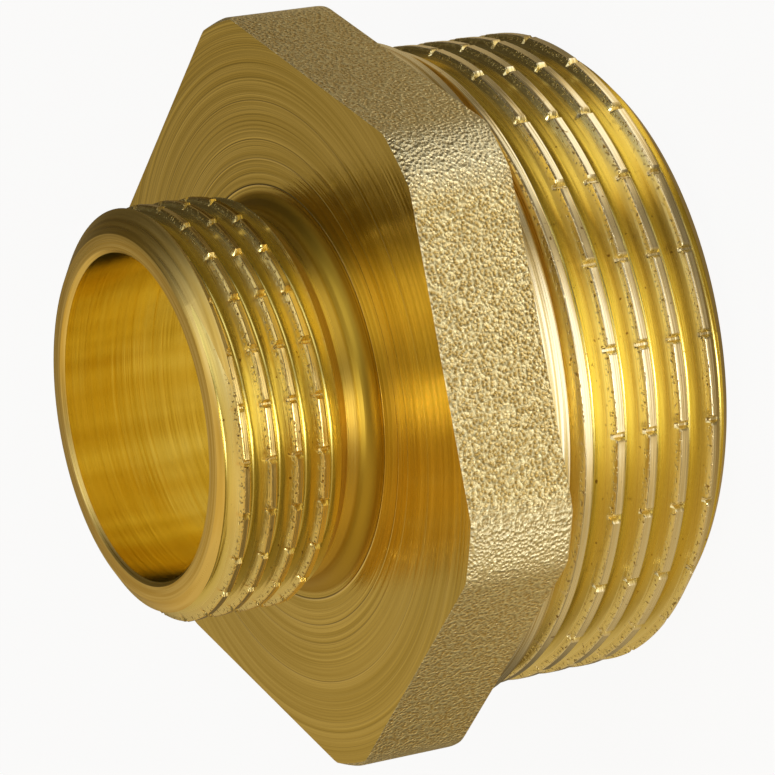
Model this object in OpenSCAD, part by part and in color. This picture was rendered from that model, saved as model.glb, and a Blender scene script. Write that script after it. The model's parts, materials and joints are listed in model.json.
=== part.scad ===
// Reducing nipple: one turned brass piece with a hexagon between two outside
// pipe threads of different size and a stepped bore right through.
// Z is the bore axis. The large end face lies on z = 0 and the small end is up.

/* [Large thread] */
// Diameter over the crests of the large thread
large_d = 41.91; // [40.8:0.01:42.6]
// Distance from crest to crest on the large thread
large_pitch = 2.309; // [2:0.001:2.6]
// Depth of the large thread from crest to root
large_depth = 1.4; // [1.1:0.05:1.5]
// Width of the flat left on each large crest
large_crest_w = 0.6; // [0.3:0.05:0.7]
// Threaded length of the large end
large_thread_l = 12.2; // [8:0.1:20]
// Direction in which the large thread leaves the end face, in degrees
large_start = 311; // [0:1:360]
// Length over which the large thread fades out at the relief
large_fade_l = 0.4; // [0.3:0.1:2]

/* [Small thread] */
// Diameter over the crests of the small thread
small_d = 26.44; // [25.6:0.01:28]
// Distance from crest to crest on the small thread
small_pitch = 1.814; // [1.6:0.001:2]
// Depth of the small thread from crest to root
small_depth = 1.12; // [0.9:0.02:1.2]
// Width of the flat left on each small crest
small_crest_w = 0.45; // [0.25:0.05:0.6]
// Threaded length of the small end
small_thread_l = 8.9; // [6:0.1:16]
// Direction in which the small thread leaves the end face, in degrees
small_start = 159; // [0:1:360]
// Length over which the small thread fades out at the neck
small_fade_l = 1.4; // [0.4:0.1:2.5]

/* [Flank] */
// Angle between the two flanks of a thread groove
flank_angle = 55; // [52:1:60]

/* [Relief and collar] */
// Length of the plain groove behind the large thread
relief_l = 0.65; // [0.4:0.05:3]
// How far the relief and the neck lie below the thread roots
relief_drop = 0.1; // [0.05:0.01:0.25]
// Length of the round collar behind the hexagon
collar_l = 1.35; // [0.6:0.05:4]
// Diameter of the round collar
collar_d = 43.2; // [42.7:0.1:43.5]
// Length of the plain neck in front of the hexagon
neck_l = 1.85; // [1.3:0.05:4]
// Radius of the hollow between the neck and the hexagon face
neck_fillet = 1.1; // [0.3:0.1:1.2]

/* [Hexagon] */
// Width of the hexagon across its flats
hex_af = 43.6; // [43.6:0.1:48]
// Length of the hexagon along the axis
hex_l = 7.05; // [6:0.05:12]
// Radius of the rounded corners of the hexagon
hex_corner_r = 5; // [2:0.5:6]
// How far the front chamfer cuts in across each corner
front_chamfer = 0.35; // [0.2:0.05:1.5]
// Length of the front chamfer along the axis
front_chamfer_l = 0.7; // [0.2:0.05:2]
// Size of the 45 degree chamfer across each back corner
back_chamfer = 0.25; // [0.1:0.05:1.5]

/* [Ends] */
// How far the flat ring on the large end lies inside the crests
large_lead_drop = 1.755; // [1.5:0.005:2.2]
// Length of the lead-in cone on the large end
large_lead_l = 1.9; // [1:0.1:3]
// How far the flat ring on the small end lies inside the crests
small_lead_drop = 1.47; // [1.2:0.01:1.8]
// Length of the lead-in cone on the small end
small_lead_l = 1.05; // [0.6:0.05:2]

/* [Bore] */
// Wall between the neck and the bore of the small end
small_wall = 1.5; // [1.2:0.1:3]
// Wall between the relief and the wider bore of the large end
large_wall = 2.205; // [1.7:0.005:4.5]
// How far the cone of the wider bore ends short of the hexagon's face
web_l = 3; // [1.5:0.1:6]
// Included angle of the cone between the two bores
bore_cone_angle = 118; // [90:1:140]
// Width of the broken edge at each bore mouth
bore_edge = 0.25; // [0.1:0.05:0.5]

/* [Quality] */
// Number of flat steps round one turn of a thread
steps = 72; // [36:12:84]

/* [Hidden] */
$fn = 96;

// Small overlap that lets solids fuse
eps = 0.2;
// Steps on each rounded corner of the hexagon
corner_steps = 8;

relief_z = large_thread_l;
collar_z = relief_z + relief_l;
hex_z = collar_z + collar_l;
face_z = hex_z + hex_l;
small_thread_z = face_z + neck_l;
top_z = small_thread_z + small_thread_l;

large_root_r = large_d / 2 - large_depth;
small_root_r = small_d / 2 - small_depth;
large_relief_r = large_root_r - relief_drop;
small_neck_r = small_root_r - relief_drop;

hex_r = hex_af / 2 / cos(30);
hex_corner_centre = hex_r - hex_corner_r / cos(30);
hex_tip_r = hex_corner_centre + hex_corner_r;

small_bore_r = small_neck_r - small_wall;
large_bore_r = large_relief_r - large_wall;
bore_cone_l = (large_bore_r - small_bore_r) / tan(bore_cone_angle / 2);
large_bore_l = face_z - web_l - bore_cone_l;

// Height and radius of the four points of one thread turn, from the start of
// the crest flat: both ends of the crest, then both ends of the root.
function turn_z(j, pitch, depth, crest_w) =
    let (flank = depth * tan(flank_angle / 2))
    [0, crest_w, crest_w + flank, pitch - flank][j % 4]
    + pitch * floor(j / 4);

function turn_r(j, d, depth) = (j % 4 < 2) ? d / 2 : d / 2 - depth;

// A threaded rod along Z whose crest centre crosses z = 0 in the direction
// start. Its rows follow the helix, so each row has one radius and rises by
// one pitch in a turn. It runs past both ends, to be trimmed.
module threaded_rod(d, pitch, depth, crest_w, z_low, z_high, start) {
    first = floor(z_low / pitch) - 1;
    turns = ceil((z_high + crest_w / 2) / pitch) - first;
    rows = 4 * turns;
    shift = -crest_w / 2 + pitch * first;

    side = [for (i = [0 : steps - 1]) for (j = [0 : rows])
        let (a = 360 * i / steps, r = turn_r(j, d, depth))
        [r * cos(a), r * sin(a),
         turn_z(j, pitch, depth, crest_w) + shift + pitch * a / 360]];
    low = len(side);
    high = low + 1;
    points = concat(side, [
        [0, 0, shift - pitch / 2],
        [0, 0, turn_z(rows, pitch, depth, crest_w) + shift + 3 * pitch / 2]]);

    // Column i and row j of the side, where the last column meets the first
    // one again a whole turn higher.
    function at(i, j) =
        i < steps ? i * (rows + 1) + j : j + 4;

    walls = [for (i = [0 : steps - 1])
        for (j = [0 : i < steps - 1 ? rows - 1 : rows - 5])
        for (half = [0, 1])
        half == 0 ? [at(i, j), at(i, j + 1), at(i + 1, j + 1)]
                  : [at(i, j), at(i + 1, j + 1), at(i + 1, j)]];
    low_edge = concat([for (i = [0 : steps - 1]) at(i, 0)],
                      [for (j = [4 : -1 : 1]) at(0, j)]);
    high_edge = concat([for (i = [0 : steps - 1]) at(i, rows)],
                       [for (j = [1 : 4]) at(steps - 1, rows - j)]);
    low_cap = [for (k = [0 : len(low_edge) - 1])
        [low, low_edge[k], low_edge[(k + 1) % len(low_edge)]]];
    high_cap = [for (k = [0 : len(high_edge) - 1])
        [high, high_edge[(k + 1) % len(high_edge)], high_edge[k]]];

    rotate(start)
        polyhedron(points = points, faces = concat(walls, low_cap, high_cap),
                   convexity = 10);
}

// The turned outline that a thread is cut into: a flat end ring, a lead-in
// cone, room for the crests, and a cone where the thread fades out.
module thread_blank(lead_drop, lead_l, d, length, fade_l, root_r) {
    over = d / 2 + 0.5;
    face_r = d / 2 - lead_drop;
    lead_rise = lead_drop / lead_l;
    fade_rise = (d / 2 - root_r) / fade_l;
    rotate_extrude()
        polygon([
            [0, 0],
            [face_r, 0],
            [over, (over - face_r) / lead_rise],
            [over, length - (over - root_r) / fade_rise],
            [root_r, length],
            [0, length]]);
}

module large_thread() {
    intersection() {
        threaded_rod(large_d, large_pitch, large_depth, large_crest_w,
                     0, large_thread_l, large_start);
        thread_blank(large_lead_drop, large_lead_l, large_d, large_thread_l,
                     large_fade_l, large_relief_r);
    }
}

module small_thread() {
    translate([0, 0, top_z])
        intersection() {
            threaded_rod(small_d, small_pitch, small_depth, small_crest_w,
                         -small_thread_l, 0, small_start);
            mirror([0, 0, 1])
                thread_blank(small_lead_drop, small_lead_l, small_d,
                             small_thread_l, small_fade_l, small_neck_r);
        }
}

// Corner k of the hexagon as a run of points on its rounding
function corner_points(k) =
    [for (s = [0 : corner_steps])
        let (a = 60 * k - 30 + 60 * s / corner_steps)
        hex_corner_centre * [cos(60 * k), sin(60 * k)]
        + hex_corner_r * [cos(a), sin(a)]];

// Hexagon with rounded corners, whose ends are cut back by turned cones
module hexagon() {
    clear = 0.1;
    front_r = hex_tip_r - front_chamfer;
    front_rise = (front_chamfer + clear) * front_chamfer_l / front_chamfer;
    back_r = hex_tip_r - back_chamfer;
    translate([0, 0, hex_z])
        intersection() {
            linear_extrude(hex_l)
                polygon([for (k = [0 : 5]) each corner_points(k)]);
            rotate_extrude()
                polygon([
                    [0, 0],
                    [back_r, 0],
                    [hex_tip_r + clear, back_chamfer + clear],
                    [hex_tip_r + clear, hex_l - front_rise],
                    [front_r, hex_l],
                    [0, hex_l]]);
        }
}

// Hollow corner between the neck and the front of the hexagon
module neck_hollow() {
    translate([0, 0, face_z - eps])
        rotate_extrude()
            difference() {
                translate([small_neck_r - eps, 0])
                    square([neck_fillet + eps, neck_fillet + eps]);
                translate([small_neck_r + neck_fillet, neck_fillet + eps])
                    circle(r = neck_fillet);
            }
}

module bores() {
    rotate_extrude()
        polygon([
            [0, -eps],
            [large_bore_r + bore_edge + eps, -eps],
            [large_bore_r, bore_edge],
            [large_bore_r, large_bore_l],
            [small_bore_r, large_bore_l + bore_cone_l],
            [small_bore_r, top_z - bore_edge],
            [small_bore_r + bore_edge + eps, top_z + eps],
            [0, top_z + eps]]);
}

module nipple_body() {
    color("goldenrod")
        difference() {
            union() {
                large_thread();
                translate([0, 0, relief_z - eps])
                    cylinder(r = large_relief_r, h = relief_l + 2 * eps);
                translate([0, 0, collar_z])
                    cylinder(d = collar_d, h = collar_l + eps);
                hexagon();
                translate([0, 0, face_z - eps])
                    cylinder(r = small_neck_r, h = neck_l + 2 * eps);
                neck_hollow();
                small_thread();
            }
            bores();
        }
}

nipple_body();
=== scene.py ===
# %% [markdown]
# # A brass reducing nipple
# The part is one lump of brass: a small threaded end, a hexagon for the wrench and a large
# threaded end, with a bore right through. The frame already holds its exact sizes. This lesson
# builds a finer skin round that frame, with rounded thread roots, nicked crests and four kinds of
# brass surface, and then lights it like a small product on a white table.

import json
import math

import bmesh
import bpy
from mathutils import Matrix, Vector, noise


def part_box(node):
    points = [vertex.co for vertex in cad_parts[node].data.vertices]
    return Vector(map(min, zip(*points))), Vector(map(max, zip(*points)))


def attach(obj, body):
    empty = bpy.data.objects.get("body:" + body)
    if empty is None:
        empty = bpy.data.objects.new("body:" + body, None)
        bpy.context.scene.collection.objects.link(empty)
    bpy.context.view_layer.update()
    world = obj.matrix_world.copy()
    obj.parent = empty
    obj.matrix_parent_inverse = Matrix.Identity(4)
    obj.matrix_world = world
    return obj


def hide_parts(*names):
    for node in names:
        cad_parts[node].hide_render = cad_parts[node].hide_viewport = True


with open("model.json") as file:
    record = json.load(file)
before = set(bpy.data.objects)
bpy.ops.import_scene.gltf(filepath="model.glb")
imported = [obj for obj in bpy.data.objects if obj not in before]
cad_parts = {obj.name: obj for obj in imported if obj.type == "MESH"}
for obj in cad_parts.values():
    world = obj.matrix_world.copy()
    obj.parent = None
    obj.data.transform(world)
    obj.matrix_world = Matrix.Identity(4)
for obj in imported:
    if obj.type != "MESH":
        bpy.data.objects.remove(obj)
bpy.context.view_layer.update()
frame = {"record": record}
mounts = {m["name"]: m for m in frame["record"]["mounts"]}
low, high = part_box("nipple_body")
print("frame box in mm", [round(1000 * (h - l), 2) for l, h in zip(low, high)])

# %% [markdown]
# ## Sizes
# All shaping is done in millimetres, because that is how a turner reads a drawing, and the
# finished mesh is brought to metres at the end. Whatever the frame can tell is taken from it:
# overall length, the width across the flats, both bores and both thread diameters. The rest are
# the same values that the solid model uses.

# %% Driving sizes
TOP_Z = 1000 * high[2]
HEX_AF = 1000 * (high[1] - low[1])
SMALL_BORE_R = mounts["small_bore"]["dims"]["r_mm"]
LARGE_BORE_R = mounts["large_bore"]["dims"]["r_mm"]

# Each thread's pale crest colour below is partly worn metal and partly a painted highlight.
LARGE = {"r": mounts["large_thread"]["dims"]["r_mm"], "length": mounts["large_thread"]["dims"]["length_mm"],
         "pitch": 2.309, "depth": 1.4, "crest": 0.6, "start": 311.0,
         "face_r": 19.2, "lead": 1.9, "fade": 0.4, "nick_half": 0.25, "nick_depth": 0.42,
         "rubbed": (0.96, 0.86, 0.58)}
SMALL = {"r": mounts["small_thread"]["dims"]["r_mm"], "length": mounts["small_thread"]["dims"]["length_mm"],
         "pitch": 1.814, "depth": 1.12, "crest": 0.45, "start": 159.0,
         "face_r": 11.75, "lead": 1.05, "fade": 1.4, "nick_half": 0.22, "nick_depth": 0.35,
         "rubbed": (0.92, 0.69, 0.25)}
FLANK = math.radians(27.5)
DROP = 0.1

RELIEF_Z = LARGE["length"]
COLLAR_Z = RELIEF_Z + 0.65
HEX_Z = COLLAR_Z + 1.35
FACE_Z = HEX_Z + 7.05
NECK_Z = TOP_Z - SMALL["length"]
COLLAR_R = 21.6
HEX_CORNER_R = 5.0
FRONT_CHAMFER = (0.35, 0.7)
BACK_CHAMFER = (0.25, 0.25)
NECK_FILLET = 1.1
BORE_CONE = math.radians(59)
WEB = 3.0
BORE_EDGE = 0.25
print("hexagon from", HEX_Z, "to", FACE_Z, "neck up to", round(NECK_Z, 2))

# %% [markdown]
# ## Surfaces before shapes
# Every solid below is later joined into one mesh. A face keeps the number of its material
# through that join, so all the solids share one list of materials from the start: turned thread,
# turned face, grit-blasted flat and bored wall. The materials are filled in further down.

# %% Material list
SURFACES = ["brass_large_thread", "brass_small_thread", "brass_turned", "brass_collar", "brass_end",
            "brass_blasted", "brass_bore"]
brass = {name: bpy.data.materials.new(name) for name in SURFACES}
LARGE_THREAD, SMALL_THREAD, TURNED, COLLAR, END, BLASTED, BORED = range(len(SURFACES))


def solid_from(bm, name, surface):
    """Makes an object of a bmesh, with every face on one of the shared surfaces."""
    for face in bm.faces:
        face.material_index = surface
        face.smooth = True
    mesh = bpy.data.meshes.new(name)
    bm.to_mesh(mesh)
    bm.free()
    for key in SURFACES:
        mesh.materials.append(brass[key])
    made = bpy.data.objects.new(name, mesh)
    bpy.context.scene.collection.objects.link(made)
    return made


# %% [markdown]
# ## Turning a solid
# A lathe makes a solid from one outline, and so does the spin operator. The outline starts and
# ends on the axis, and a full spin that merges its ends closes the skin. The two points on the
# axis are spun too, so their copies are merged into one pole each.

# %% Lathe helper
TURN_STEPS = 288


def arc(centre, radius, start, end, steps):
    """Points on a stretch of circle in the outline's plane, with angles in degrees."""
    cr, cz = centre
    turns = [math.radians(start + (end - start) * k / steps) for k in range(steps + 1)]
    return [(cr + radius * math.cos(t), cz + radius * math.sin(t)) for t in turns]


def turned(name, outline, surface, steps=TURN_STEPS):
    """Spins an outline of (radius, height) points round the Z axis into a closed solid."""
    bm = bmesh.new()
    verts = [bm.verts.new((r, 0, z)) for r, z in outline]
    edges = [bm.edges.new(pair) for pair in zip(verts, verts[1:])]
    bmesh.ops.spin(bm, geom=verts + edges, cent=(0, 0, 0), axis=(0, 0, 1),
                   angle=2 * math.pi, steps=steps, use_merge=True, use_duplicate=False)
    bmesh.ops.remove_doubles(bm, verts=bm.verts, dist=1e-4)
    bmesh.ops.recalc_face_normals(bm, faces=bm.faces)
    return solid_from(bm, name, surface)


# %% [markdown]
# ## Cutting a thread
# A screw thread is the same spin with a rise: each step turns the profile a little and lifts it
# by the same share of one pitch. The profile covers several pitches, so after one full turn its
# end falls on its own start, one pitch higher, and merging doubles closes the seam. Such a real
# helix beats stacked rings, because the run of its crests can be followed by eye.
#
# The crests of this fitting are nicked all round so that sealing hemp holds. The nicks are cut
# into the fine skin by moving its points: a narrow groove with raised lips, every 15 degrees.

# %% Thread helpers
NICKS = 24
NICK_PHASE = 11.3
NICK_FLOOR = 0.07
CROWD = 0.22


def thread_profile(t):
    """Points of one pitch as (rise, radius), from the middle of a crest to just before the next."""
    p, r, d, c = t["pitch"], t["r"], t["depth"], t["crest"]
    flank = d * math.tan(FLANK)
    edge = 0.08
    root_half = (p - c) / 2 - flank
    points = [(0, r), (c / 4, r), (c / 2 - edge, r), (c / 2 - edge * 0.3, r - edge * 0.25),
              (c / 2 + edge * 0.3, r - edge)]
    for share in (0.3, 0.6, 0.85):
        points.append((c / 2 + flank * share, r - d * share))
    points += [(p / 2 - root_half * 0.75, r - d + 0.03), (p / 2, r - d)]
    mirrored = [(p - z, radius) for z, radius in reversed(points[1:-1])]
    return points + mirrored


def crowd(angle, sector):
    """Moves an angle towards the nearest nick, so that points gather where the nick is cut."""
    u = (angle / sector + 0.5) % 1.0 - 0.5
    crowded = 0.5 * (CROWD * 2 * u + (1 - CROWD) * (2 * u) ** 3)
    return angle + (crowded - u) * sector


def nick_cut(arc_away, t, strength):
    """How far a nick lowers the crest at this distance along the crest. Lips come out negative."""
    half, away = t["nick_half"], abs(arc_away)
    if away > half:
        return -0.03 * math.exp(-((away - half - 0.06) / 0.06) ** 2)
    wall = min(1.0, (half - away) / (half - NICK_FLOOR))
    return strength * t["nick_depth"] * wall * wall * (3 - 2 * wall)


def threaded_rod(name, t, z_low, z_high, per_nick, nicked, surface):
    """A rod with a helical thread between two heights. nicked gives the heights with nicks."""
    p = t["pitch"]
    steps = NICKS * per_nick
    turns = int((z_high - z_low) / p) + 4
    centre = p * (NICK_PHASE - t["start"]) / 360 + t.get("datum", 0.0)
    first = centre + p * (math.floor((z_low - centre) / p) - 2)

    bm = bmesh.new()
    profile = thread_profile(t)
    verts = [bm.verts.new((r, 0, first + p * k + rise))
             for k in range(turns) for rise, r in profile]
    edges = [bm.edges.new(pair) for pair in zip(verts, verts[1:])]
    bmesh.ops.spin(bm, geom=verts + edges, cent=(0, 0, 0), axis=(0, 0, 1),
                   dvec=(0, 0, p / steps), angle=2 * math.pi, steps=steps,
                   use_merge=False, use_duplicate=False)
    bmesh.ops.remove_doubles(bm, verts=bm.verts, dist=2e-3)

    sector = 2 * math.pi / NICKS
    phase = math.radians(NICK_PHASE)
    for v in bm.verts:
        radius = math.hypot(v.co.x, v.co.y)
        angle = math.atan2(v.co.y, v.co.x) % (2 * math.pi)
        turned_to = crowd(angle, sector)
        height = v.co.z + p * (turned_to - angle) / (2 * math.pi)
        away = ((turned_to / sector + 0.5) % 1.0 - 0.5) * sector * radius
        index = round(turned_to / sector) % NICKS
        turn = round((height - centre - p * turned_to / (2 * math.pi)) / p)
        strength = 0.9 + 0.4 * noise.noise(Vector((index * 1.7, turn * 2.3, t["r"])))
        if nicked[0] < height < nicked[1]:
            cut = nick_cut(away, t, strength)
            if cut > 0:
                radius = min(radius, t["r"] - cut)
            elif radius > t["r"] - 0.2:
                radius -= cut
        turned_to += phase
        v.co = (radius * math.cos(turned_to), radius * math.sin(turned_to), height)

    for z, away in ((z_low, -1), (z_high, 1)):
        bmesh.ops.bisect_plane(bm, geom=bm.verts[:] + bm.edges[:] + bm.faces[:], dist=1e-5,
                               plane_co=(0, 0, z), plane_no=(0, 0, away), clear_outer=True)
        rim = [e for e in bm.edges if e.is_boundary and all(abs(v.co.z - z) < 1e-4 for v in e.verts)]
        bmesh.ops.holes_fill(bm, edges=rim, sides=0)
    bmesh.ops.recalc_face_normals(bm, faces=bm.faces)
    print(name, "has", len(bm.faces), "faces in", steps, "steps a turn")
    return solid_from(bm, name, surface)


# %% [markdown]
# ## Joining solids
# The boolean modifier's manifold solver joins closed solids fast and leaves a closed skin, which
# is what a part cut from one bar needs. Each step is applied at once, so the next one starts from
# plain faces, and the tool solid is then removed.

# %% Boolean helper
def combine(target, tool, operation):
    """Applies one boolean step to target and removes the tool solid."""
    step = target.modifiers.new(operation.lower(), "BOOLEAN")
    step.operation = operation
    step.solver = "MANIFOLD"
    step.object = tool
    bpy.context.view_layer.update()
    done = bpy.data.meshes.new_from_object(target.evaluated_get(bpy.context.evaluated_depsgraph_get()))
    target.modifiers.clear()
    target.data = done
    bpy.data.objects.remove(tool)
    return target


# %% [markdown]
# ## The two threaded ends
# Each rod is trimmed by a turned blank: a flat end ring, a lead-in cone, room for the crests and
# a cone where the chaser ran out. The small end is the same blank turned upside down.

# %% Threaded ends
def blank_outline(t, root_r):
    """The outline of a thread's blank, with its end face at height 0."""
    over = t["r"] + 0.5
    lead = (over - t["face_r"]) * t["lead"] / (t["r"] - t["face_r"])
    fade = (over - root_r) * t["fade"] / (t["r"] - root_r)
    edge = 0.06
    return [(0, 0), (t["face_r"] - edge, 0), (t["face_r"], edge * 0.4), (over, lead),
            (over, t["length"] - fade), (root_r, t["length"]), (0, t["length"])]


LARGE_ROOT = LARGE["r"] - LARGE["depth"] - DROP
SMALL_ROOT = SMALL["r"] - SMALL["depth"] - DROP
SMALL["datum"] = TOP_Z

large_end = threaded_rod("large_rod", LARGE, -0.7, LARGE["length"] + 0.7, 16, (-5.0, 10.55), LARGE_THREAD)
combine(large_end, turned("large_blank", blank_outline(LARGE, LARGE_ROOT), END), "INTERSECT")

flipped = [(r, TOP_Z - z) for r, z in reversed(blank_outline(SMALL, SMALL_ROOT))]
small_end = threaded_rod("small_rod", SMALL, NECK_Z - 0.7, TOP_Z + 0.7, 14, (NECK_Z + 1.3, TOP_Z - 1.2),
                         SMALL_THREAD)
combine(small_end, turned("small_blank", flipped, END), "INTERSECT")
print("large end", len(large_end.data.polygons), "faces, small end", len(small_end.data.polygons))

# %% [markdown]
# ## The hexagon
# The hexagon starts as a six-sided circle whose corners are rounded by a vertex bevel, and the
# face is drawn up into a block. Its flats keep the grit-blasted skin of the forging. Its two ends
# are turned, so a turned envelope cuts the front and back chamfers across the corners.

# %% Hexagon
def hexagon_block():
    """The forged hexagon, left long at both ends for the turning cuts."""
    bm = bmesh.new()
    bmesh.ops.create_circle(bm, cap_ends=True, segments=6, radius=HEX_AF / 2 / math.cos(math.pi / 6),
                            matrix=Matrix.Rotation(math.pi / 6, 4, "Z"))
    corner = min(math.degrees(math.atan2(v.co.y, v.co.x)) % 60 for v in bm.verts)
    bmesh.ops.rotate(bm, cent=(0, 0, 0), matrix=Matrix.Rotation(-math.radians(corner), 3, "Z"), verts=bm.verts)
    bmesh.ops.bevel(bm, geom=bm.verts[:], offset=HEX_CORNER_R * math.tan(math.pi / 6),
                    offset_type="OFFSET", segments=14, profile=0.5, affect="VERTICES", material=-1)
    bmesh.ops.translate(bm, vec=(0, 0, HEX_Z - 1), verts=bm.verts)
    grown = bmesh.ops.extrude_face_region(bm, geom=bm.faces[:])
    top = [g for g in grown["geom"] if isinstance(g, bmesh.types.BMVert)]
    bmesh.ops.translate(bm, vec=(0, 0, FACE_Z - HEX_Z + 2), verts=top)
    bmesh.ops.recalc_face_normals(bm, faces=bm.faces)
    return solid_from(bm, "hexagon", BLASTED)


def chamfer_points(tip_r, plane_z, chamfer, inward):
    """Two points of the turned envelope: on the end plane, and just outside the corner's tip."""
    across, along = chamfer
    beyond = 0.1
    share = (across + beyond) / across
    return (tip_r - across, plane_z), (tip_r + beyond, plane_z + inward * along * share)


TIP_R = HEX_AF / 2 / math.cos(math.pi / 6) - HEX_CORNER_R * (1 / math.cos(math.pi / 6) - 1)
back_points = chamfer_points(TIP_R, HEX_Z, BACK_CHAMFER, 1)
front_points = chamfer_points(TIP_R, FACE_Z, FRONT_CHAMFER, -1)
hexagon_cuts = turned("hexagon_cuts", [(0, HEX_Z), *back_points, *reversed(front_points), (0, FACE_Z)], TURNED)
for face in hexagon_cuts.data.polygons:
    if abs(face.normal.z) < 0.9:
        face.material_index = BLASTED
hexagon = combine(hexagon_block(), hexagon_cuts, "INTERSECT")
print("corner tips at radius", round(TIP_R, 3))

# %% [markdown]
# ## Neck, collar and relief
# One turned core joins the three: a neck with a hollow at the hexagon's face, a round collar
# behind the hexagon, and a plain groove where the large thread starts. It runs a little way into
# every solid that it joins, so no two skins lie on each other.

# %% Core and join
hollow = arc((SMALL_ROOT + NECK_FILLET, FACE_Z + NECK_FILLET), NECK_FILLET, 270, 180, 10)
core = [(0, RELIEF_Z - 1.5), (LARGE_ROOT - 0.6, RELIEF_Z - 1.5), (LARGE_ROOT, RELIEF_Z - 0.02),
        (LARGE_ROOT, COLLAR_Z - 0.15), (LARGE_ROOT + 0.15, COLLAR_Z), (COLLAR_R - 0.12, COLLAR_Z),
        (COLLAR_R - 0.05, COLLAR_Z + 0.03), (COLLAR_R - 0.05, COLLAR_Z + 0.1), (COLLAR_R, COLLAR_Z + 0.13),
        (COLLAR_R, HEX_Z + 0.3), (SMALL_ROOT + NECK_FILLET + 0.6, HEX_Z + 0.6),
        (SMALL_ROOT + NECK_FILLET + 0.6, FACE_Z - 0.3), (SMALL_ROOT + NECK_FILLET, FACE_Z - 0.001)]
core += hollow[1:] + [(SMALL_ROOT, NECK_Z + 0.02), (SMALL_ROOT - 0.6, NECK_Z + 1.0), (0, NECK_Z + 1.0)]

core_solid = turned("core", core, TURNED)
for face in core_solid.data.polygons:
    if face.center.z < HEX_Z + 0.4:
        face.material_index = COLLAR
nipple = combine(hexagon, core_solid, "UNION")
combine(nipple, large_end, "UNION")
combine(nipple, small_end, "UNION")

bore_cone = (LARGE_BORE_R - SMALL_BORE_R) / math.tan(BORE_CONE)
bore = [(0, -1), (LARGE_BORE_R + BORE_EDGE + 1, -1), (LARGE_BORE_R, BORE_EDGE),
        (LARGE_BORE_R, FACE_Z - WEB - bore_cone), (SMALL_BORE_R, FACE_Z - WEB), (SMALL_BORE_R, TOP_Z - BORE_EDGE),
        (SMALL_BORE_R + BORE_EDGE + 1, TOP_Z + 1), (0, TOP_Z + 1)]
bore_solid = turned("bores", bore, BORED)
for face in bore_solid.data.polygons:
    if not BORE_EDGE < face.center.z < TOP_Z - BORE_EDGE:
        face.material_index = END
combine(nipple, bore_solid, "DIFFERENCE")

nipple.name = "brass_nipple"
nipple.data.name = "brass_nipple"
nipple.data.transform(Matrix.Scale(0.001, 4))
nipple.data.shade_smooth()
nipple.data.set_sharp_from_angle(angle=math.radians(28))
triangles = sum(len(f.vertices) - 2 for f in nipple.data.polygons)
print("nipple:", triangles, "triangles")

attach(nipple, "root")
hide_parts("nipple_body")

# %% [markdown]
# ## Brass
# Metal shows what is round it, so its material is mostly a tint, a roughness and the fine marks
# that its making left. The marks of a lathe run round the axis. A shader group turns the object
# coordinates into radius, height and angle once, and each material picks the one that its marks
# are spread along.

# %% Node helpers
def link(tree, source, target):
    tree.links.new(source, target)


def math_node(tree, operation, a, b=None):
    """A Math node whose inputs are sockets or plain numbers. Returns its output."""
    n = tree.nodes.new("ShaderNodeMath")
    n.operation = operation
    for socket, value in zip(n.inputs, (a, b)):
        if value is None:
            continue
        if isinstance(value, (int, float)):
            socket.default_value = value
        else:
            link(tree, value, socket)
    return n.outputs[0]


def group_tree(name, inputs, outputs):
    """A new shader group with float inputs and outputs. Returns the tree and both end nodes."""
    tree = bpy.data.node_groups.new(name, "ShaderNodeTree")
    for label, default in inputs.items():
        socket = tree.interface.new_socket(name=label, in_out="INPUT", socket_type="NodeSocketFloat")
        socket.default_value = default
    for label in outputs:
        tree.interface.new_socket(name=label, in_out="OUTPUT", socket_type="NodeSocketFloat")
    return tree, tree.nodes.new("NodeGroupInput"), tree.nodes.new("NodeGroupOutput")


def polar_group():
    """Radius and height in millimetres, and the angle in radians, of a point on the part."""
    tree, _, out = group_tree("polar_place", {}, ["Radius", "Height", "Angle"])
    place = tree.nodes.new("ShaderNodeTexCoord")
    split = tree.nodes.new("ShaderNodeSeparateXYZ")
    link(tree, place.outputs["Object"], split.inputs[0])
    x, y, z = (math_node(tree, "MULTIPLY", split.outputs[k], 1000.0) for k in range(3))
    square = math_node(tree, "ADD", math_node(tree, "MULTIPLY", x, x), math_node(tree, "MULTIPLY", y, y))
    link(tree, math_node(tree, "SQRT", square), out.inputs["Radius"])
    link(tree, z, out.inputs["Height"])
    link(tree, math_node(tree, "ARCTAN2", y, x), out.inputs["Angle"])
    return tree


POLAR = polar_group()


def lathe_marks_group():
    """Fine lines left by a cutting edge, spread along Along and drawn out along Round."""
    tree, given, out = group_tree("lathe_marks", {"Along": 0.0, "Round": 0.0, "Lines": 6.0, "Drift": 1.0},
                                  ["Fine", "Coarse"])
    around = [math_node(tree, "MULTIPLY", math_node(tree, turn, given.outputs["Round"]), given.outputs["Drift"])
              for turn in ("COSINE", "SINE")]
    for label, scale, offset in (("Fine", 3.0, 0.0), ("Coarse", 1.0, 37.0)):
        spread = math_node(tree, "MULTIPLY", math_node(tree, "MULTIPLY", given.outputs["Along"],
                                                      given.outputs["Lines"]), scale)
        place = tree.nodes.new("ShaderNodeCombineXYZ")
        link(tree, math_node(tree, "ADD", spread, offset), place.inputs[0])
        link(tree, around[0], place.inputs[1])
        link(tree, around[1], place.inputs[2])
        grain = tree.nodes.new("ShaderNodeTexNoise")
        grain.inputs["Scale"].default_value = 1.0
        grain.inputs["Detail"].default_value = 2.0
        link(tree, place.outputs[0], grain.inputs["Vector"])
        link(tree, grain.outputs["Fac"], out.inputs[label])
    return tree


LATHE_MARKS = lathe_marks_group()


def put_group(tree, group, **values):
    """Places a group in a tree and fills its inputs with sockets or numbers."""
    n = tree.nodes.new("ShaderNodeGroup")
    n.node_tree = group
    for label, value in values.items():
        if isinstance(value, (int, float)):
            n.inputs[label].default_value = value
        else:
            link(tree, value, n.inputs[label])
    return n


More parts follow.
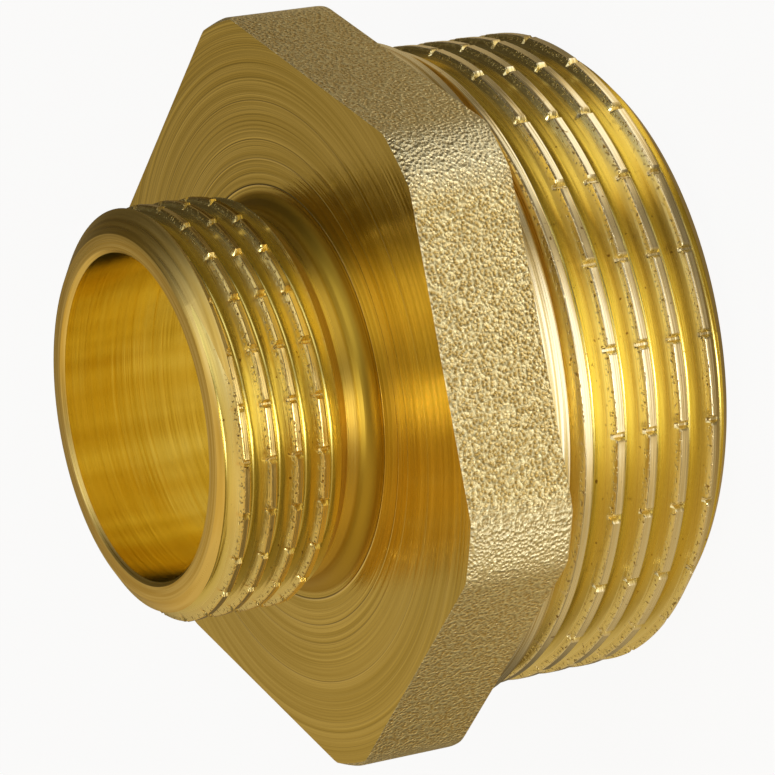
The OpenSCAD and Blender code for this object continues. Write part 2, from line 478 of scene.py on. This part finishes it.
def blend_colour(tree, factor, first, second):
    """Mixes two linear colours by a factor socket."""
    n = tree.nodes.new("ShaderNodeMix")
    n.data_type = "RGBA"
    link(tree, factor, n.inputs["Factor"])
    for socket, value in zip((n.inputs[6], n.inputs[7]), (first, second)):
        if isinstance(value, tuple):
            socket.default_value = (*value, 1.0)
        else:
            link(tree, value, socket)
    return n.outputs[2]


def ramp(tree, value, low_in, high_in, low_out=0.0, high_out=1.0):
    """Maps a value from one range to another and clamps it."""
    n = tree.nodes.new("ShaderNodeMapRange")
    link(tree, value, n.inputs["Value"])
    for label, number in (("From Min", low_in), ("From Max", high_in), ("To Min", low_out), ("To Max", high_out)):
        n.inputs[label].default_value = number
    return n.outputs["Result"]


def start_brass(name, roughness):
    """Empties a brass material and returns its tree and its Principled node."""
    material = brass[name]
    material.use_nodes = True
    tree = material.node_tree
    tree.nodes.clear()
    shader = tree.nodes.new("ShaderNodeBsdfPrincipled")
    out = tree.nodes.new("ShaderNodeOutputMaterial")
    link(tree, shader.outputs[0], out.inputs[0])
    shader.inputs["Metallic"].default_value = 1.0
    shader.inputs["Roughness"].default_value = roughness
    return tree, shader


def bump(tree, shader, height, distance, strength=1.0):
    """Feeds a height through a Bump node into the shader's normal."""
    n = tree.nodes.new("ShaderNodeBump")
    n.inputs["Strength"].default_value = strength
    n.inputs["Distance"].default_value = distance
    link(tree, height, n.inputs["Height"])
    link(tree, n.outputs[0], shader.inputs["Normal"])


# %% [markdown]
# ## Four finishes of one metal
# Brass is not one colour. The crests are pale, partly from wear and partly as a painted highlight, and the turned
# collar is pale.
# The flanks and the bottoms of the grooves are deeper: painted shade for light that bounces twice in there and is
# tinted each time.
# The marks of the thread chaser follow the helix, so one group unrolls the screw: it gives the
# distance from the middle of the nearest crest.

# %% Screw coordinate
PALE = (0.97, 0.83, 0.48)
FLANK_TINT = (0.95, 0.82, 0.37)
# The root tint is painted shade for the bottoms of the grooves, and the dark speck colour also paints a shade line
# at the crest edges.
ROOT_SHADE_TINT = (0.91, 0.77, 0.23)
DARK_SPECK_AND_SHADE = (0.35, 0.22, 0.06)


def screw_group():
    """The distance along the axis from the middle of the nearest crest, in millimetres."""
    tree, given, out = group_tree("screw_place", {"Height": 0.0, "Angle": 0.0, "Pitch": 1.0, "Start": 0.0,
                                                  "Datum": 0.0}, ["Across"])
    turn = math_node(tree, "DIVIDE", math_node(tree, "SUBTRACT", given.outputs["Angle"], given.outputs["Start"]),
                     2 * math.pi)
    risen = math_node(tree, "MULTIPLY", turn, given.outputs["Pitch"])
    place = math_node(tree, "SUBTRACT", math_node(tree, "SUBTRACT", given.outputs["Height"],
                                                  given.outputs["Datum"]), risen)
    half = math_node(tree, "MULTIPLY", given.outputs["Pitch"], 0.5)
    wrapped = math_node(tree, "WRAP", place, half)
    link(tree, math_node(tree, "MULTIPLY", half, -1.0), wrapped.node.inputs[2])
    link(tree, wrapped, out.inputs["Across"])
    return tree


SCREW = screw_group()


def noise_at(tree, place, scale, detail=2.0, roughness=0.5):
    """A noise texture on a vector socket. Returns its value."""
    n = tree.nodes.new("ShaderNodeTexNoise")
    for label, number in (("Scale", scale), ("Detail", detail), ("Roughness", roughness)):
        n.inputs[label].default_value = number
    link(tree, place, n.inputs["Vector"])
    return n.outputs["Fac"]


def line_at(tree, value, at, width):
    """A soft line: 1 where the value is at the given number, and 0 beyond the width."""
    off = math_node(tree, "ABSOLUTE", math_node(tree, "SUBTRACT", value, at))
    return ramp(tree, off, 0.0, width, 1.0, 0.0)


# %% Thread finish
def fill_thread(name, t):
    tree, shader = start_brass(name, 0.2)
    polar = put_group(tree, POLAR)
    screw = put_group(tree, SCREW, Height=polar.outputs["Height"], Angle=polar.outputs["Angle"],
                      Pitch=t["pitch"], Start=math.radians(t["start"]), Datum=t.get("datum", 0.0))
    across = screw.outputs["Across"]
    marks = put_group(tree, LATHE_MARKS, Along=across, Round=polar.outputs["Angle"], Lines=2.2, Drift=1.5)
    crest = ramp(tree, polar.outputs["Radius"], t["r"] - 0.12, t["r"] - 0.03)
    deep = ramp(tree, polar.outputs["Radius"], t["r"] - t["depth"], t["r"] - 0.4 * t["depth"])

    place = tree.nodes.new("ShaderNodeTexCoord").outputs["Object"]
    # Dark marks in a broken line along one edge of each crest are partly real marks and partly a painted dark
    # reflection of the rounded crest edge. The dots elsewhere are marks only.
    speck_noise = noise_at(tree, place, 5200.0, 3.0)
    edge = line_at(tree, across, t["crest"] / 2 + 0.06, 0.16)
    edge_specks_and_shade = math_node(tree, "MULTIPLY", ramp(tree, speck_noise, 0.57, 0.66), edge)
    dots = ramp(tree, noise_at(tree, place, 2600.0, 1.0), 0.74, 0.78)

    # Towards the bottom of each groove the tint deepens from the flank tint to the root tint: painted shade for
    # light bounced twice in the groove.
    colour = blend_colour(tree, deep, ROOT_SHADE_TINT, FLANK_TINT)
    # The crests and the bottoms of the nicks take the pale crest tint: partly metal worn or cut bright, partly a
    # painted highlight for the white glints on crests and nicks.
    off = math_node(tree, "WRAP", math_node(tree, "SUBTRACT", polar.outputs["Angle"], math.radians(NICK_PHASE)),
                    math.pi / NICKS)
    off.node.inputs[2].default_value = -math.pi / NICKS
    struck_and_glint = math_node(tree, "MULTIPLY", line_at(tree, math_node(tree, "MULTIPLY", off, polar.outputs["Radius"]),
                                                 0.0, 0.2),
                       ramp(tree, polar.outputs["Radius"], t["r"] - 0.6, t["r"] - 0.4))
    colour = blend_colour(tree, math_node(tree, "MAXIMUM", crest, struck_and_glint), colour, t["rubbed"])
    streak = math_node(tree, "ADD", ramp(tree, marks.outputs["Coarse"], 0.35, 0.55, 0.22, 0.0),
                       ramp(tree, marks.outputs["Fine"], 0.4, 0.55, 0.22, 0.0))
    colour = blend_colour(tree, streak, colour, (0.70, 0.50, 0.14))
    colour = blend_colour(tree, math_node(tree, "MAXIMUM", edge_specks_and_shade, dots), colour, DARK_SPECK_AND_SHADE)
    link(tree, colour, shader.inputs["Base Color"])
    link(tree, ramp(tree, marks.outputs["Fine"], 0.3, 0.7, 0.16, 0.34), shader.inputs["Roughness"])
    lines = math_node(tree, "ADD", marks.outputs["Fine"], math_node(tree, "MULTIPLY", marks.outputs["Coarse"], 2.0))
    bump(tree, shader, math_node(tree, "SUBTRACT", lines, math_node(tree, "MULTIPLY", edge_specks_and_shade, 2.0)), 0.000025)


# %% Turned face, collar and bore
# Radius, width and weight of each tool ring on the face. Their pale tint is partly tool marks and partly painted
# highlights.
TOOL_RINGS_AND_HIGHLIGHTS = ((13.4, 0.10, 1.0), (15.1, 0.08, 0.5), (16.3, 0.06, 0.3), (18.8, 0.07, 0.35))


def fill_turned():
    tree, shader = start_brass("brass_turned", 0.25)
    polar = put_group(tree, POLAR)
    along = math_node(tree, "ADD", polar.outputs["Radius"], polar.outputs["Height"])
    marks = put_group(tree, LATHE_MARKS, Along=along, Round=polar.outputs["Angle"], Lines=3.2, Drift=0.7)
    ring_marks_and_highlights = None
    for at, width, weight in TOOL_RINGS_AND_HIGHLIGHTS:
        ring = math_node(tree, "MULTIPLY", line_at(tree, polar.outputs["Radius"], at, width), weight)
        ring_marks_and_highlights = ring if ring_marks_and_highlights is None else math_node(tree, "ADD", ring_marks_and_highlights, ring)
    tint = ramp(tree, marks.outputs["Coarse"], 0.35, 0.65)
    colour = blend_colour(tree, tint, (0.70, 0.53, 0.12), (0.90, 0.71, 0.22))
    # The pale tint of the ring marks is partly tool marks and partly painted highlights on the face.
    colour = blend_colour(tree, math_node(tree, "MULTIPLY", ring_marks_and_highlights, 0.7), colour, PALE)
    # The hollow where the neck meets the face is tinted darker and made matt, darkest low in the hollow: painted
    # shade in the recess.
    hollow_part = ramp(tree, polar.outputs["Radius"], SMALL_ROOT + NECK_FILLET, SMALL_ROOT + 0.8 * NECK_FILLET)
    upper = ramp(tree, polar.outputs["Height"], FACE_Z + 0.9 * NECK_FILLET, FACE_Z + 1.1 * NECK_FILLET)
    neck_shade_tint = blend_colour(tree, upper, (0.50, 0.33, 0.04), (0.72, 0.54, 0.14))
    colour = blend_colour(tree, hollow_part, colour, neck_shade_tint)
    link(tree, colour, shader.inputs["Base Color"])
    gloss = ramp(tree, marks.outputs["Fine"], 0.3, 0.7, 0.12, 0.24)
    matt = math_node(tree, "MULTIPLY", hollow_part, math_node(tree, "SUBTRACT", 0.25, math_node(
        tree, "MULTIPLY", upper, 0.1)))
    link(tree, math_node(tree, "ADD", gloss, matt), shader.inputs["Roughness"])
    both = math_node(tree, "ADD", marks.outputs["Fine"], math_node(tree, "MULTIPLY", marks.outputs["Coarse"], 1.5))
    bump(tree, shader, math_node(tree, "ADD", both, math_node(tree, "MULTIPLY", ring_marks_and_highlights, 2.0)), 0.00002)


def fill_rubbed(name, deep, pale, glossy, matt):
    """A turned surface with marks round the axis, between two tints and two roughnesses."""
    tree, shader = start_brass(name, 0.25)
    polar = put_group(tree, POLAR)
    along = math_node(tree, "ADD", polar.outputs["Radius"], polar.outputs["Height"])
    marks = put_group(tree, LATHE_MARKS, Along=along, Round=polar.outputs["Angle"], Lines=5.0, Drift=1.0)
    tint = ramp(tree, marks.outputs["Coarse"], 0.38, 0.58)
    link(tree, blend_colour(tree, tint, deep, pale), shader.inputs["Base Color"])
    link(tree, ramp(tree, marks.outputs["Fine"], 0.3, 0.7, glossy, matt), shader.inputs["Roughness"])
    bump(tree, shader, marks.outputs["Fine"], 0.00002)


def fill_bore():
    tree, shader = start_brass("brass_bore", 0.25)
    polar = put_group(tree, POLAR)
    marks = put_group(tree, LATHE_MARKS, Along=polar.outputs["Height"], Round=polar.outputs["Angle"],
                      Lines=1.5, Drift=0.8)
    # Soft lighter and darker zones round the bore wall are painted light and shade, standing in for the bore's
    # reflections.
    shading_bands = put_group(tree, LATHE_MARKS, Along=polar.outputs["Height"], Round=polar.outputs["Angle"],
                      Lines=0.05, Drift=2.6)
    tint = ramp(tree, marks.outputs["Coarse"], 0.35, 0.65)
    colour = blend_colour(tree, tint, (0.97, 0.84, 0.32), (1.0, 0.95, 0.55))
    shading_band = ramp(tree, shading_bands.outputs["Coarse"], 0.42, 0.6)
    colour = blend_colour(tree, shading_band, blend_colour(tree, tint, (0.80, 0.66, 0.17), (0.90, 0.76, 0.26)), colour)
    link(tree, colour, shader.inputs["Base Color"])
    link(tree, ramp(tree, marks.outputs["Fine"], 0.3, 0.7, 0.1, 0.2), shader.inputs["Roughness"])
    bump(tree, shader, marks.outputs["Fine"], 0.000012)


# %% Blasted flats
def fill_blasted():
    tree, shader = start_brass("brass_blasted", 0.34)
    place = tree.nodes.new("ShaderNodeTexCoord").outputs["Object"]
    pits = tree.nodes.new("ShaderNodeTexVoronoi")
    pits.feature = "F1"
    pits.inputs["Scale"].default_value = 4200.0
    link(tree, place, pits.inputs["Vector"])
    grit = noise_at(tree, place, 6500.0, 2.0, 0.6)
    height = math_node(tree, "ADD", pits.outputs["Distance"], math_node(tree, "MULTIPLY", grit, 0.6))
    tint = ramp(tree, height, 0.5, 1.0)
    colour = blend_colour(tree, tint, (0.72, 0.50, 0.15), (1.0, 0.88, 0.50))
    polar = put_group(tree, POLAR)
    # The front edge and the rounded corners of the flats are tinted pale: partly worn edges and partly painted
    # highlights along the ridges.
    front = math_node(tree, "MULTIPLY", ramp(tree, polar.outputs["Height"], FACE_Z - 0.2, FACE_Z - 0.05),
                      ramp(tree, grit, 0.4, 0.6))
    corner = math_node(tree, "MULTIPLY", ramp(tree, polar.outputs["Radius"], 23.6, 24.3), 0.6)
    colour = blend_colour(tree, math_node(tree, "MAXIMUM", front, corner), colour, (1.0, 0.92, 0.62))
    link(tree, colour, shader.inputs["Base Color"])
    bump(tree, shader, height, 0.00016)


fill_thread("brass_large_thread", LARGE)
fill_thread("brass_small_thread", SMALL)
fill_rubbed("brass_collar", (0.60, 0.45, 0.16), (0.97, 0.88, 0.62), 0.14, 0.3)
fill_rubbed("brass_end", (0.78, 0.55, 0.13), (0.96, 0.74, 0.26), 0.26, 0.42)
for fill in (fill_turned, fill_bore, fill_blasted):
    fill()
print("materials:", ", ".join(SURFACES))

# %% [markdown]
# ## Floor, light and camera
# The part stands on its large end on a white table. The camera looks down on it and is rolled on
# its side, as the photograph shows the part lying with its small end to the left.

# %% Floor
# Pools of light painted on the paper, seen only in the brass: direction from the part and distance, radius,
# brightness
PATCHES = ((263, 58, 38, 1.75), (318, 31, 13, 1.3), (212, 42, 34, 0.42), (0, 0, 22, 0.65), (30, 36, 32, 0.3))
DIM_PAPER = 0.13
WARM = (1.0, 0.79, 0.44)
WHITE = (1.0, 1.0, 1.0)


def paper_glow(tree):
    """How bright the paper looks in the brass: brightest in front, where the light falls on it."""
    place = tree.nodes.new("ShaderNodeTexCoord").outputs["Object"]
    glow = None
    for turn, distance, radius, brightness in PATCHES:
        apart = tree.nodes.new("ShaderNodeVectorMath")
        apart.operation = "DISTANCE"
        link(tree, place, apart.inputs[0])
        turn = math.radians(turn)
        apart.inputs[1].default_value = (0.001 * distance * math.cos(turn), 0.001 * distance * math.sin(turn), 0)
        patch = ramp(tree, apart.outputs["Value"], 0.0004 * radius, 0.001 * radius, brightness, 0.0)
        patch.node.interpolation_type = "SMOOTHSTEP"
        glow = math_node(tree, "ADD", patch, DIM_PAPER if glow is None else glow)
    return glow


def white_floor():
    bm = bmesh.new()
    bmesh.ops.create_grid(bm, x_segments=1, y_segments=1, size=3.0)
    mesh = bpy.data.meshes.new("floor")
    bm.to_mesh(mesh)
    bm.free()
    made = bpy.data.objects.new("floor", mesh)
    bpy.context.scene.collection.objects.link(made)
    material = bpy.data.materials.new("floor_white")
    material.use_nodes = True
    tree = material.node_tree
    tree.nodes.clear()
    paper = tree.nodes.new("ShaderNodeBsdfDiffuse")
    paper.inputs[0].default_value = (0.9, 0.9, 0.9, 1)
    glow = tree.nodes.new("ShaderNodeEmission")
    ray = tree.nodes.new("ShaderNodeLightPath")
    mirrored = math_node(tree, "MAXIMUM", ray.outputs["Is Glossy Ray"], ray.outputs["Is Transmission Ray"])
    strength = paper_glow(tree)
    clean = math_node(tree, "MAXIMUM", ray.outputs["Is Camera Ray"], ramp(tree, strength, 0.8, 1.5))
    link(tree, blend_colour(tree, clean, WARM, WHITE), glow.inputs[0])
    link(tree, math_node(tree, "ADD", ray.outputs["Is Camera Ray"],
                         math_node(tree, "MULTIPLY", mirrored, strength)), glow.inputs[1])
    share = math_node(tree, "ADD", math_node(tree, "MULTIPLY", ray.outputs["Is Camera Ray"], 0.92),
                      math_node(tree, "MULTIPLY", mirrored, 0.9))
    mix = tree.nodes.new("ShaderNodeMixShader")
    link(tree, share, mix.inputs[0])
    link(tree, paper.outputs[0], mix.inputs[1])
    link(tree, glow.outputs[0], mix.inputs[2])
    out = tree.nodes.new("ShaderNodeOutputMaterial")
    link(tree, mix.outputs[0], out.inputs[0])
    mesh.materials.append(material)
    return made


white_floor()

# %% World and lamps
# Each soft light in the room: direction round the part, height, spread (all in degrees), strength
SOFT_LIGHTS = ((252, 6, 27, 1.7), (309, 30, 35, 1.25), (350, 68, 27, 0.8))
WARM_WALLS = ((215, 25, 50, 0.45), (140, 30, 72, 0.5), (150, 80, 35, 0.35))
DARK_ROOM = 0.06

world = bpy.data.worlds.new("studio")
bpy.context.scene.world = world
world.use_nodes = True
sky = world.node_tree
sky.nodes.clear()
direction = sky.nodes.new("ShaderNodeTexCoord").outputs["Generated"]


def towards(turn, rise):
    """The unit vector for a turn round Z and a rise above the table, in degrees."""
    turn, rise = math.radians(turn), math.radians(rise)
    return Vector((math.cos(rise) * math.cos(turn), math.cos(rise) * math.sin(turn), math.sin(rise)))


def soft_patches(patches, start):
    """The summed strength of soft patches in the room, as a socket."""
    total = start
    for turn, rise, spread, strength in patches:
        facing = sky.nodes.new("ShaderNodeVectorMath")
        facing.operation = "DOT_PRODUCT"
        link(sky, direction, facing.inputs[0])
        facing.inputs[1].default_value = towards(turn, rise)
        lobe = ramp(sky, facing.outputs["Value"], math.cos(math.radians(spread)), 1.0, 0.0, strength)
        lobe.node.interpolation_type = "SMOOTHSTEP"
        total = math_node(sky, "ADD", lobe, total)
    return total


def shining(colour, strength):
    """A background of one colour with a strength socket."""
    n = sky.nodes.new("ShaderNodeBackground")
    n.inputs[0].default_value = (*colour, 1)
    link(sky, strength, n.inputs[1])
    return n.outputs[0]


room = sky.nodes.new("ShaderNodeAddShader")
link(sky, shining(WHITE, soft_patches(SOFT_LIGHTS, 0.0)), room.inputs[0])
link(sky, shining(WARM, soft_patches(WARM_WALLS, DARK_ROOM)), room.inputs[1])
sky_out = sky.nodes.new("ShaderNodeOutputWorld")
link(sky, room.outputs[0], sky_out.inputs[0])


def soft_lamp(name, towards, distance, size, power):
    """A square soft lamp in a direction from the part, aimed at it."""
    data = bpy.data.lights.new(name, "AREA")
    data.shape = "RECTANGLE"
    data.size, data.size_y = size
    data.energy = power
    lamp = bpy.data.objects.new(name, data)
    aim = Vector(towards).normalized()
    lamp.location = aim * distance
    lamp.rotation_mode = "QUATERNION"
    lamp.rotation_quaternion = aim.to_track_quat("Z", "Y")
    bpy.context.scene.collection.objects.link(lamp)
    return lamp


soft_lamp("front", towards(252, 10), 0.6, (0.16, 0.1), 0.48)

# %% Camera
SHOT = 775
FOCAL_PX = 4517.54
CAMERA_AT = (-0.007345, -0.259529, 0.148274)
LOOK = Vector((0.02241, 0.88770, -0.45988))
RIGHT = Vector((-0.18033, -0.44886, -0.87522))
camera_data = bpy.data.cameras.new("camera")
camera_data.sensor_width = 36.0
camera_data.lens = 36.0 * FOCAL_PX / SHOT
camera_data.clip_start = 0.01
camera_data.clip_end = 10
camera = bpy.data.objects.new("camera", camera_data)
bpy.context.scene.collection.objects.link(camera)
back = -LOOK.normalized()
right = (RIGHT - RIGHT.dot(back) * back).normalized()
up = back.cross(right)
camera.matrix_world = Matrix.Translation(CAMERA_AT) @ Matrix((right, up, back)).transposed().to_4x4()
bpy.context.scene.camera = camera
bpy.context.scene.view_settings.view_transform = "Standard"
